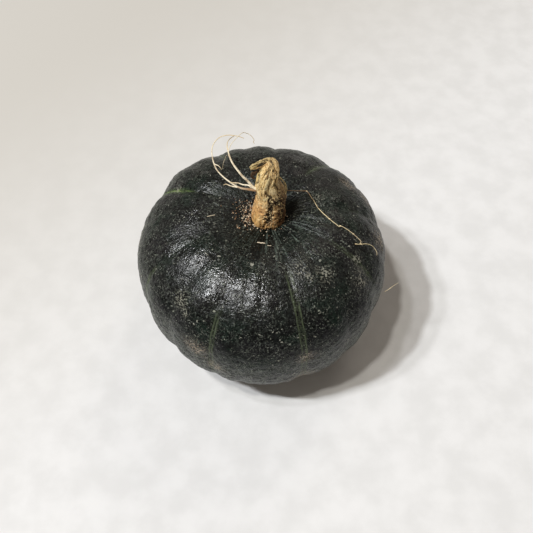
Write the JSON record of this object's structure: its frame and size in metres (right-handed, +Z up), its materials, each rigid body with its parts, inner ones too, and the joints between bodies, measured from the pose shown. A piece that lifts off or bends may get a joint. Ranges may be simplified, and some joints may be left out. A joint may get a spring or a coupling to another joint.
{
  "type": "mini kabocha squash",
  "caption": "Squat dark green squash with shallow lobes, a sunken crown, a hooked corky stem and two dried tendrils, resting on its blossom end.",
  "frame": {"origin": "on the surface that the squash rests on, under the middle of the fruit", "axes": "+Z up along the fruit's axis, -Y towards the front that the picture shows, +X to its right; the free end of the right tendril lies towards +X and the left tendril stands towards -X and +Y"},
  "size_m": [0.115, 0.1148, 0.1097],
  "materials": {
    "rind": "waxy dark green squash rind, semi-gloss over fine wrinkles, with pale specks and light green stripes in the furrows",
    "cork": "dry corky stem, matt, ridged lengthwise, golden tan to brown",
    "tendril_pale": "dried tendril, matt, straw coloured",
    "tendril_brown": "dried tendril, matt, brown"
  },
  "bodies": {
    "root": {"fruit": "rind", "stem": "cork", "tendril_left": "tendril_pale", "tendril_right": "tendril_brown"}
  },
  "joints": []
}
